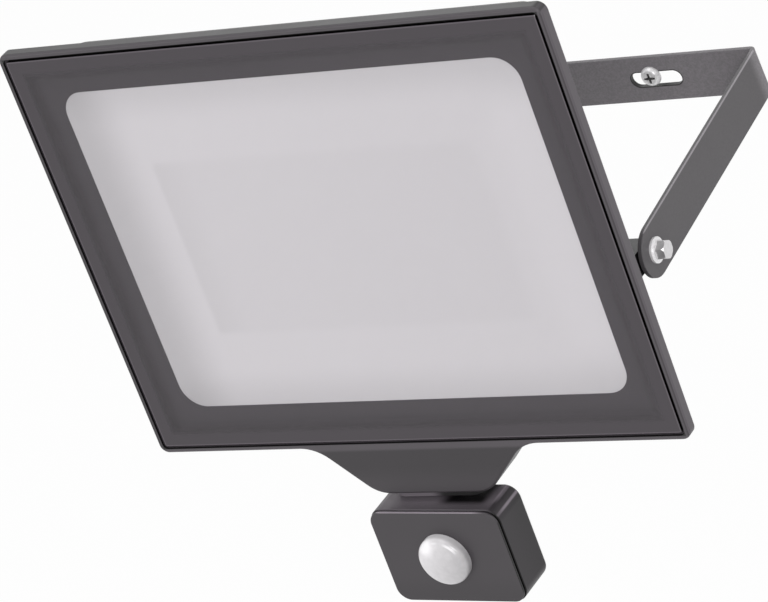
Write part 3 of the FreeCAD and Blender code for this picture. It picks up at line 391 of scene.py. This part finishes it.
opal_level = left_shade * top_shade * bottom_shade * right_painted_light * field_shade * rightward_painted_shade
opal_sheet = opal.shade(
    Base_Color=opal.blend(opal_level, (0.0, 0.0, 0.0, 1.0), (0.655, 0.616, 0.652, 1.0)),
    Roughness=opal.noise(25.0, 2.0) * 0.08 + 0.5,
)
wear(["diffuser_sheet"], opal_sheet)

# Silicone and rubber seals, matt black with a fine bloom.
rubber = Finish("black_rubber")
rubber_bloom = rubber.noise(2.5, 3.0)
black_rubber = rubber.shade(
    Base_Color=rubber.blend(rubber_bloom, (0.002, 0.002, 0.002, 1.0), (0.004, 0.004, 0.004, 1.0)),
    Roughness=rubber_bloom * 0.15 + 0.8,
    Normal=rubber.bump(rubber_bloom, 0.02, 0.3),
    Specular_IOR_Level=0.1,
)
wear(["cover_seal", "gland_seal"], black_rubber)

# The bead round the pane is the same silicone. On the left and below it is painted paler, as painted light.
bead = Finish("pane_bead")
across_bead, _, up_bead = bead.axes(bead.panel_spot())
bead_painted_light = across_bead.rise(-0.1385, -0.1375, 1.0, 0.0) + up_bead.rise(-0.1040, -0.1030, 1.0, 0.0)
pane_bead = bead.shade(
    Base_Color=bead.blend(bead_painted_light, (0.002, 0.002, 0.002, 1.0), tone(0.045)),
    Roughness=bead.noise(2.5, 3.0) * 0.15 + 0.8,
    Specular_IOR_Level=0.1,
)
wear(["glass_seal"], pane_bead)

# The sensor's shell is moulded plastic with a satin skin. Two bright streaks on its upper right corner are painted
# highlights. Under the chin it is painted in deep shade, its top is painted paler towards the back and left as
# painted light, its sides are painted darker than its front as painted shade, and its right front edge by the
# joint is painted dark as painted shade.
SENSOR_TOP = -0.1388
SENSOR_SIDE = 0.0355
CORNER_RADIUS = 0.0072
moulding = Finish("sensor_shell")
moulding_grain = moulding.noise(0.7, 2.0, 0.6)
moulding_cloud = moulding.noise(14.0, 2.0)
across_shell, shell_depth, up_shell = moulding.axes(moulding.sensor_spot())
corner_turn = moulding.node("ShaderNodeMath", {"operation": "ARCTAN2"},
                            {0: up_shell - (SENSOR_TOP - CORNER_RADIUS),
                             1: across_shell - (SENSOR_SIDE - CORNER_RADIUS)})
low_corner_painted_highlight = abs(corner_turn - 0.52).rise(0.03, 0.15, 1.0, 0.0) * shell_depth.rise(-0.0055, 0.004, 0.35, 1.0)
high_corner_painted_highlight = abs(corner_turn - 1.20).rise(0.05, 0.21, 1.0, 0.0) * shell_depth.rise(-0.001, 0.007)
on_top = up_shell.rise(SENSOR_TOP - 0.0006, SENSOR_TOP - 0.0002)
chin_shade = across_shell.rise(-0.002, 0.007) * across_shell.rise(0.023, 0.029, 1.0, 0.0)
chin_shade = chin_shade * shell_depth.rise(-0.0035, 0.0015)
shell_top_painted_light = on_top * (shell_depth.rise(-0.006, 0.006, 1.6, 4.0) - across_shell.rise(-0.010, 0.020) * 0.7)
on_side = abs(across_shell).rise(0.0350, 0.0354)
seam_side_painted_shade = shell_depth.rise(-0.0059, -0.0053, 1.0, 0.0) * across_shell.rise(0.031, 0.034)
shell_level = (shell_top_painted_light + 1.0) * (1.0 - chin_shade * 0.96) * (1.0 - on_side * shell_depth.rise(-0.006, 0.015, 0.15, 0.40))
shell_level = (shell_level + low_corner_painted_highlight * 5.5 + high_corner_painted_highlight * 4.0) * (1.0 - seam_side_painted_shade * 0.95)
sensor_shell = moulding.shade(
    Base_Color=moulding.blend(shell_level * (moulding_cloud * 0.2 + 0.9) * 0.1, (0.0, 0.0, 0.0, 1.0), tone(0.38)),
    Roughness=moulding_cloud * 0.06 + moulding_grain * 0.08 + 0.30,
    Normal=moulding.bump(moulding_grain, 0.02, 0.3),
    Specular_IOR_Level=0.3,
)
wear(["sensor_housing", "swivel_neck", "neck_retainer"], sensor_shell)

# The base plate under the chin is of the same plastic. Its left end is painted pale as painted light, the rest
# near black as painted shade.
base_skin = Finish("base_plate_skin")
base_cloud = base_skin.noise(14.0, 2.0)
across_base, _, _ = base_skin.axes(base_skin.panel_spot())
base_plate_skin = base_skin.shade(
    Base_Color=base_skin.blend(across_base.rise(-0.004, 0.004), tone(0.15), tone(0.004)),
    Roughness=base_cloud * 0.06 + 0.45,
)
wear(["sensor_base"], base_plate_skin)

# The sensor's front cover is a separate plate with a slightly finer grain. Its upper edge is painted bright as a
# painted highlight, its right edge is painted dark as painted shade of the black joint, and it is painted darker
# towards the bottom as painted shade.
cover_skin = Finish("sensor_cover_skin")
cover_grain = cover_skin.noise(0.5, 2.0, 0.6)
cover_cloud = cover_skin.noise(18.0, 2.0)
across_cover, _, up_cover = cover_skin.axes(cover_skin.sensor_spot())
upper_edge_painted_highlight = up_cover.rise(SENSOR_TOP - 0.0009, SENSOR_TOP - 0.0007) * across_cover.rise(0.022, 0.030, 1.0, 0.0)
joint_edge_painted_shade = across_cover.rise(SENSOR_SIDE - 0.0008, SENSOR_SIDE - 0.0006)
cover_level = up_cover.rise(-0.188, -0.172, 0.82, 1.0) * (upper_edge_painted_highlight * 5.0 + 1.0) * (1.0 - joint_edge_painted_shade * 0.93)
sensor_face = cover_skin.shade(
    Base_Color=cover_skin.blend(cover_level * (cover_cloud * 0.14 + 0.93) * 0.15, (0.0, 0.0, 0.0, 1.0), tone(0.30)),
    Roughness=cover_cloud * 0.05 + cover_grain * 0.08 + 0.36,
    Normal=cover_skin.bump(cover_grain, 0.02, 0.3),
)
wear(["sensor_cover"], sensor_face)

# The thin seal in the joint is black, with its upper side painted pale as painted light.
joint = Finish("sensor_joint")
joint_bloom = joint.noise(2.5, 3.0)
across_joint, _, up_joint = joint.axes(joint.sensor_spot())
seal_top_painted_light = up_joint.rise(SENSOR_TOP - 0.0020, SENSOR_TOP - 0.0015) * across_joint.rise(0.022, 0.028, 1.0, 0.0)
joint_rubber = joint.shade(
    Base_Color=joint.blend(seal_top_painted_light, (0.001, 0.001, 0.001, 1.0), tone(0.14)),
    Roughness=joint_bloom * 0.15 + 0.8,
    Specular_IOR_Level=0.05,
)
wear(["sensor_seal"], joint_rubber)

# The lens is milky polyethylene, moulded with small lenses on its inside, which show through as a faint
# mottle. Light is painted into its colour: brighter towards the left and top, with painted highlights at the upper
# left and along the lower left rim and a painted highlight streak at the upper right.
LENS_MIDDLE = -0.1641
milk = Finish("sensor_lens")
honeycomb = milk.cells(4.6, "DISTANCE_TO_EDGE")
milk_cloud = milk.noise(3.2, 3.0, 0.6)
across_lens, _, up_lens = milk.axes(milk.sensor_spot())
up_lens = up_lens - LENS_MIDDLE
lens_reach = milk.reach(across_lens, up_lens)
lens_turn = milk.node("ShaderNodeMath", {"operation": "ARCTAN2"}, {0: up_lens, 1: across_lens})
upper_left_painted_highlight = milk.reach(across_lens + 0.0060, up_lens - 0.0095).rise(0.0010, 0.0065, 0.32, 0.0)
left_rim_painted_highlight = lens_reach.rise(0.0108, 0.0120) * milk.reach(across_lens + 0.0080, up_lens + 0.0080).rise(0.006, 0.013, 0.40, 0.0)
lens_streak_painted_highlight = abs(lens_reach - 0.0112).rise(0.0002, 0.0008, 1.0, 0.0) * abs(lens_turn - 0.85).rise(0.10, 0.42, 0.34, 0.0)
lens_level = 0.635 - across_lens * 12.5 + up_lens * 5.0 + upper_left_painted_highlight + left_rim_painted_highlight + lens_streak_painted_highlight
lens_level = lens_level + (milk_cloud - 0.5) * 0.10 + honeycomb.rise(0.0, 0.3, -0.012, 0.012)
sensor_lens = milk.shade(
    Base_Color=milk.blend(lens_level, (0.0, 0.0, 0.0, 1.0), (1.0, 0.975, 1.0, 1.0)),
    Roughness=milk_cloud * 0.08 + 0.16,
    Normal=milk.bump(honeycomb.rise(0.0, 0.35) + milk_cloud * 0.8, 0.06, 0.22),
    Subsurface_Weight=0.25,
    Subsurface_Radius=(0.004, 0.004, 0.004),
    Coat_Weight=0.4,
)
wear(["pir_lens"], sensor_lens)

# Screws, bolts and washers are zinc-plated steel: bright, slightly cloudy, with fine turning marks.
zinc = Finish("zinc_plate")
zinc_cloud = zinc.noise(1.6, 3.0)
zinc_marks = zinc.noise(0.25, 2.0)
zinc_plate = zinc.shade(
    Base_Color=zinc.blend(zinc_cloud, (0.62, 0.61, 0.62, 1.0), (0.80, 0.79, 0.80, 1.0)),
    Metallic=0.75,
    Roughness=zinc_cloud * 0.14 + zinc_marks * 0.08 + 0.25,
    Normal=zinc.bump(zinc_marks, 0.01, 0.35),
)
wear(["board_screws", "cover_screws", "pivot_bolts", "base_screws", "sensor_screws", "hinge_pin", "wall_screws"],
     zinc_plate)

# The washers have a duller, whiter zinc skin than the bolts, as tumbled stampings do.
tumbled = Finish("washer_zinc")
tumbled_cloud = tumbled.noise(1.1, 3.0)
washer_zinc = tumbled.shade(
    Base_Color=tumbled.blend(tumbled_cloud, (0.80, 0.79, 0.80, 1.0), (0.97, 0.96, 0.97, 1.0)),
    Metallic=0.4,
    Roughness=tumbled_cloud * 0.2 + 0.25,
    Normal=tumbled.bump(tumbled_cloud, 0.05, 0.4),
)
wear(["spring_washers", "flat_washers"], washer_zinc)

# The wall screws: pan heads with a worn cross recess, a plain neck, a rolled thread and a point.
# Each is one grid: its rows run from the middle of the head over the rim and down the shank to the point.
SCREW_PLACE = 0.0805
STRIP_THICKNESS = 2.2
HEAD_RADIUS = 5.0
HEAD_RISE = 2.8
RECESS_REACH = 3.0
RECESS_HALF_WIDTH = 0.72
RECESS_DEPTH = 1.7
NECK_RADIUS = 1.4
THREAD_RADIUS = 1.97
THREAD_PITCH = 1.5
SHANK_LENGTH = 11.95
POINT_LENGTH = 2.6


def screw_surface(turned, columns=144):
    """Points (across, over, out) of a screw. The head's height is HEAD_RISE times 1 less the 5th power of
    the radius beyond 1.2 mm, as a share of what is left to the rim. The recess is a cross with arms that
    narrow and rise outwards. The thread's radius follows a sharpened cosine of turn and depth."""
    turn = np.linspace(0, 2 * math.pi, columns, endpoint=False)[None, :]
    radius = np.linspace(0.0, HEAD_RADIUS, 52)[:, None]
    beyond = np.clip((radius - 1.2) / (HEAD_RADIUS - 1.2), 0, 1)
    height = 0.55 + (HEAD_RISE - 0.55) * (1 - beyond ** 5) + 0.0 * turn
    for arm in (0.0, math.pi / 2):
        along = np.abs(radius * np.cos(turn - turned - arm))
        aside = np.abs(radius * np.sin(turn - turned - arm))
        half = RECESS_HALF_WIDTH * (1.15 - 0.35 * along / RECESS_REACH)
        wall = np.clip((half - aside) / 0.2, 0, 1)
        floor = np.clip((RECESS_REACH - along) / 1.1, 0, 1)
        height = np.minimum(height, HEAD_RISE - RECESS_DEPTH * wall * np.minimum(floor, 1) ** 0.6
                            + 10.0 * (1 - np.clip(wall * floor * 8, 0, 1)))
    head = np.stack([radius * np.cos(turn), radius * np.sin(turn), height], -1)
    rows = [head, np.stack(np.broadcast_arrays(HEAD_RADIUS * np.cos(turn), HEAD_RADIUS * np.sin(turn),
                                               np.array([[0.25], [0.0]])), -1)]
    depth = np.linspace(0.0, SHANK_LENGTH, 130)[:, None]
    phase = depth / THREAD_PITCH - turn / (2 * math.pi)
    ridge = np.clip(np.cos(2 * math.pi * phase) * 0.5 + 0.5, 0, 1) ** 3
    started = np.clip((depth - 2.5) / 0.8, 0, 1)
    point = np.clip((SHANK_LENGTH - depth) / POINT_LENGTH, 0, 1) ** 0.8
    shank = (NECK_RADIUS + (THREAD_RADIUS - NECK_RADIUS) * ridge * started) * point
    rows.append(np.stack([shank * np.cos(turn), shank * np.sin(turn), -depth + 0 * turn], -1))
    points = np.concatenate(rows)
    return points.reshape(-1, 3), len(points), columns


# The zinc of the wall screws is painted darker in the cross recess, as painted shade.
screw_skin = Finish("wall_screw_zinc")
screw_cloud = screw_skin.noise(1.3, 3.0)
across_screw, screw_depth, up_screw = screw_skin.axes(screw_skin.spot)
from_middle = screw_skin.reach(abs(across_screw) - SCREW_PLACE, up_screw)
recess_painted_shade = from_middle.rise(0.0026, 0.0031, 1.0, 0.0) * screw_depth.rise(-0.0048, -0.0044)
head_level = (screw_cloud * 0.25 + 0.75) * (1.0 - recess_painted_shade * 0.85)
wall_screw_zinc = screw_skin.shade(
    Base_Color=screw_skin.blend(head_level, (0.0, 0.0, 0.0, 1.0), (0.92, 0.91, 0.92, 1.0)),
    Metallic=0.25,
    Roughness=screw_cloud * 0.15 + 0.25,
    Normal=screw_skin.bump(screw_cloud, 0.03, 0.4),
)
for screw_name, screw_x, screw_turn in (
        ("wall_screw_right", SCREW_PLACE, 0.02), ("wall_screw_left", -SCREW_PLACE, 0.62)):
    screw_points, screw_rows, screw_columns = screw_surface(screw_turn)
    across, over, out = screw_points.T
    placed = np.stack([screw_x + across / 1000, (-STRIP_THICKNESS - out) / 1000, over / 1000], 1)
    wall_screw = make_piece(screw_name, placed, grid_faces(screw_rows, screw_columns), wall_screw_zinc,
                            "bracket", 40.0)
    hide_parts("wall_screws")

can = Finish("detector_can")
can_cloud = can.noise(1.2, 2.0)
detector_can = can.shade(
    Base_Color=can.blend(can_cloud, (0.55, 0.54, 0.52, 1.0), (0.68, 0.67, 0.65, 1.0)),
    Metallic=1.0,
    Roughness=can_cloud * 0.1 + 0.25,
)
wear(["pir_element"], detector_can)

# The gland, its nuts and the breather are moulded nylon, and so are the friction washers.
nylon = Finish("black_nylon")
nylon_grain = nylon.noise(0.9, 3.0)
black_nylon = nylon.shade(
    Base_Color=nylon.blend(nylon_grain, (0.022, 0.022, 0.023, 1.0), (0.034, 0.034, 0.035, 1.0)),
    Roughness=nylon_grain * 0.12 + 0.4,
    Normal=nylon.bump(nylon_grain, 0.03, 0.35),
)
wear(["gland_body", "gland_nut", "gland_locknut", "breather", "friction_washers", "lens_ring"], black_nylon)

# Inside the lamp: white-sprayed reflector and board, phosphor-covered LEDs, sleeved leads and a potted driver.
white_spray = Finish("white_spray")
spray_grain = white_spray.noise(1.1, 3.0)
white_sheet = white_spray.shade(
    Base_Color=white_spray.blend(spray_grain, (0.76, 0.76, 0.74, 1.0), (0.82, 0.82, 0.80, 1.0)),
    Roughness=spray_grain * 0.15 + 0.4,
    Normal=white_spray.bump(spray_grain, 0.03, 0.3),
)
wear(["reflector_frame", "led_board"], white_sheet)
phosphor = Finish("led_phosphor")
phosphor_cloud = phosphor.noise(1.5, 2.0)
led_phosphor = phosphor.shade(
    Base_Color=phosphor.blend(phosphor_cloud, (0.76, 0.56, 0.06, 1.0), (0.86, 0.68, 0.12, 1.0)),
    Roughness=phosphor_cloud * 0.1 + 0.25,
)
wear(["led_chips"], led_phosphor)
sleeve = Finish("lead_sleeve")
sleeve_cloud = sleeve.noise(3.0, 2.0)
lead_sleeve = sleeve.shade(
    Base_Color=sleeve.blend(sleeve_cloud, (0.42, 0.02, 0.02, 1.0), (0.5, 0.04, 0.03, 1.0)),
    Roughness=sleeve_cloud * 0.1 + 0.4,
)
wear(["led_leads"], lead_sleeve)
potting = Finish("driver_case")
potting_grain = potting.noise(1.4, 3.0)
driver_case = potting.shade(
    Base_Color=potting.blend(potting_grain, (0.02, 0.02, 0.021, 1.0), (0.035, 0.035, 0.036, 1.0)),
    Roughness=potting_grain * 0.2 + 0.5,
    Normal=potting.bump(potting_grain, 0.05, 0.4),
)
wear(["driver_module"], driver_case)
ivory = Finish("ivory_plastic")
ivory_cloud = ivory.noise(4.0, 2.0)
ivory_plastic = ivory.shade(
    Base_Color=ivory.blend(ivory_cloud, (0.70, 0.69, 0.62, 1.0), (0.78, 0.77, 0.70, 1.0)),
    Roughness=ivory_cloud * 0.1 + 0.4,
)
wear(["terminal_block", "trimmers"], ivory_plastic)
laminate = Finish("board_laminate")
laminate_weave = laminate.noise(0.8, 2.0)
board_laminate = laminate.shade(
    Base_Color=laminate.blend(laminate_weave, (0.02, 0.16, 0.06, 1.0), (0.035, 0.22, 0.09, 1.0)),
    Roughness=laminate_weave * 0.1 + 0.35,
)
wear(["sensor_board"], board_laminate)
relay_skin = Finish("relay_case")
relay_cloud = relay_skin.noise(4.0, 2.0)
relay_case = relay_skin.shade(
    Base_Color=relay_skin.blend(relay_cloud, (0.03, 0.13, 0.45, 1.0), (0.045, 0.17, 0.52, 1.0)),
    Roughness=relay_cloud * 0.1 + 0.35,
)
wear(["relay"], relay_case)
knob = Finish("dial_plastic")
knob_grain = knob.noise(0.8, 2.0)
dial_plastic = knob.shade(
    Base_Color=knob.blend(knob_grain, (0.40, 0.40, 0.41, 1.0), (0.48, 0.48, 0.49, 1.0)),
    Roughness=knob_grain * 0.12 + 0.42,
    Normal=knob.bump(knob_grain, 0.02, 0.3),
)
wear(["dial_time", "dial_light", "dial_range"], dial_plastic)

# A pale studio: floor well below the lamp, a white surround, and large soft lamps. The surround is white
# for the camera and in reflections, and gives diffuse surfaces a plain light.
floor_mesh = bpy.data.meshes.new("studio_floor")
floor_mesh.from_pydata([(-9, -9, -0.8), (9, -9, -0.8), (9, 9, -0.8), (-9, 9, -0.8)], [], [(0, 1, 2, 3)])
studio_floor = bpy.data.objects.new("studio_floor", floor_mesh)
bpy.context.scene.collection.objects.link(studio_floor)
paper = Finish("studio_paper")
paper_matt = paper.node("ShaderNodeBsdfDiffuse", {}, {"Color": (0.86, 0.86, 0.86, 1.0)})
paper_white = paper.node("ShaderNodeEmission", {}, {"Color": (1.0, 1.0, 1.0, 1.0), "Strength": 1.0})
paper_path = paper.node("ShaderNodeLightPath", {}, {}).socket.node
paper_seen = Reading(paper, paper_path.outputs["Is Camera Ray"]) * 0.95
paper_seen = paper_seen + Reading(paper, paper_path.outputs["Is Glossy Ray"]) * 0.9
paper_seen = paper_seen + Reading(paper, paper_path.outputs["Is Transmission Ray"]) * 0.9
paper_mixed = paper.node("ShaderNodeMixShader", {}, {0: paper_seen, 1: paper_matt, 2: paper_white})
paper.tree.links.new(paper_mixed.socket, paper.output.inputs["Surface"])
floor_mesh.materials.append(paper.material)

surround = bpy.data.worlds.new("studio_surround")
bpy.context.scene.world = surround
surround.use_nodes = True
sky = surround.node_tree
sky.nodes.clear()
sky_path = sky.nodes.new("ShaderNodeLightPath")
sky_plain = sky.nodes.new("ShaderNodeBackground")
sky_plain.inputs["Color"].default_value = (1.0, 1.0, 1.0, 1.0)
sky_plain.inputs["Strength"].default_value = 0.62
sky_white = sky.nodes.new("ShaderNodeBackground")
sky_white.inputs["Color"].default_value = (1.0, 1.0, 1.0, 1.0)
sky_white.inputs["Strength"].default_value = 1.0
sky_seen = sky.nodes.new("ShaderNodeMath")
sky_seen.operation = "MAXIMUM"
sky_seen_more = sky.nodes.new("ShaderNodeMath")
sky_seen_more.operation = "MAXIMUM"
sky_mix = sky.nodes.new("ShaderNodeMixShader")
sky_output = sky.nodes.new("ShaderNodeOutputWorld")
sky.links.new(sky_path.outputs["Is Camera Ray"], sky_seen.inputs[0])
sky.links.new(sky_path.outputs["Is Glossy Ray"], sky_seen.inputs[1])
sky.links.new(sky_seen.outputs[0], sky_seen_more.inputs[0])
sky.links.new(sky_path.outputs["Is Transmission Ray"], sky_seen_more.inputs[1])
sky.links.new(sky_seen_more.outputs[0], sky_mix.inputs[0])
sky.links.new(sky_plain.outputs[0], sky_mix.inputs[1])
sky.links.new(sky_white.outputs[0], sky_mix.inputs[2])
sky.links.new(sky_mix.outputs[0], sky_output.inputs["Surface"])


def soft_lamp(name, place, target, width, height, watts):
    """Rectangular lamp at a place, turned towards a target."""
    data = bpy.data.lights.new(name, "AREA")
    data.shape = "RECTANGLE"
    data.size = width
    data.size_y = height
    data.energy = watts
    lamp = bpy.data.objects.new(name, data)
    bpy.context.scene.collection.objects.link(lamp)
    away = np.array(place, float) - np.array(target, float)
    away /= np.linalg.norm(away)
    side = np.cross([0.0, 0.0, 1.0], away)
    side /= np.linalg.norm(side)
    over = np.cross(away, side)
    lamp.matrix_world = Matrix([[side[i], over[i], away[i], place[i]] for i in range(3)] + [[0, 0, 0, 1]])
    return lamp


soft_lamp("key_softbox", (1.5, -2.2, 1.5), (0.0, -0.15, -0.02), 1.4, 1.2, 30.0)
soft_lamp("left_softbox", (-1.5, -2.1, 0.75), (0.0, -0.15, -0.05), 0.6, 0.9, 7.0)
soft_lamp("top_softbox", (-0.3, -0.1, 2.4), (0.0, -0.15, -0.02), 1.5, 1.5, 11.0)
soft_lamp("rear_softbox", (-1.2, 1.9, 1.2), (0.0, -0.15, -0.02), 0.9, 1.1, 5.0)
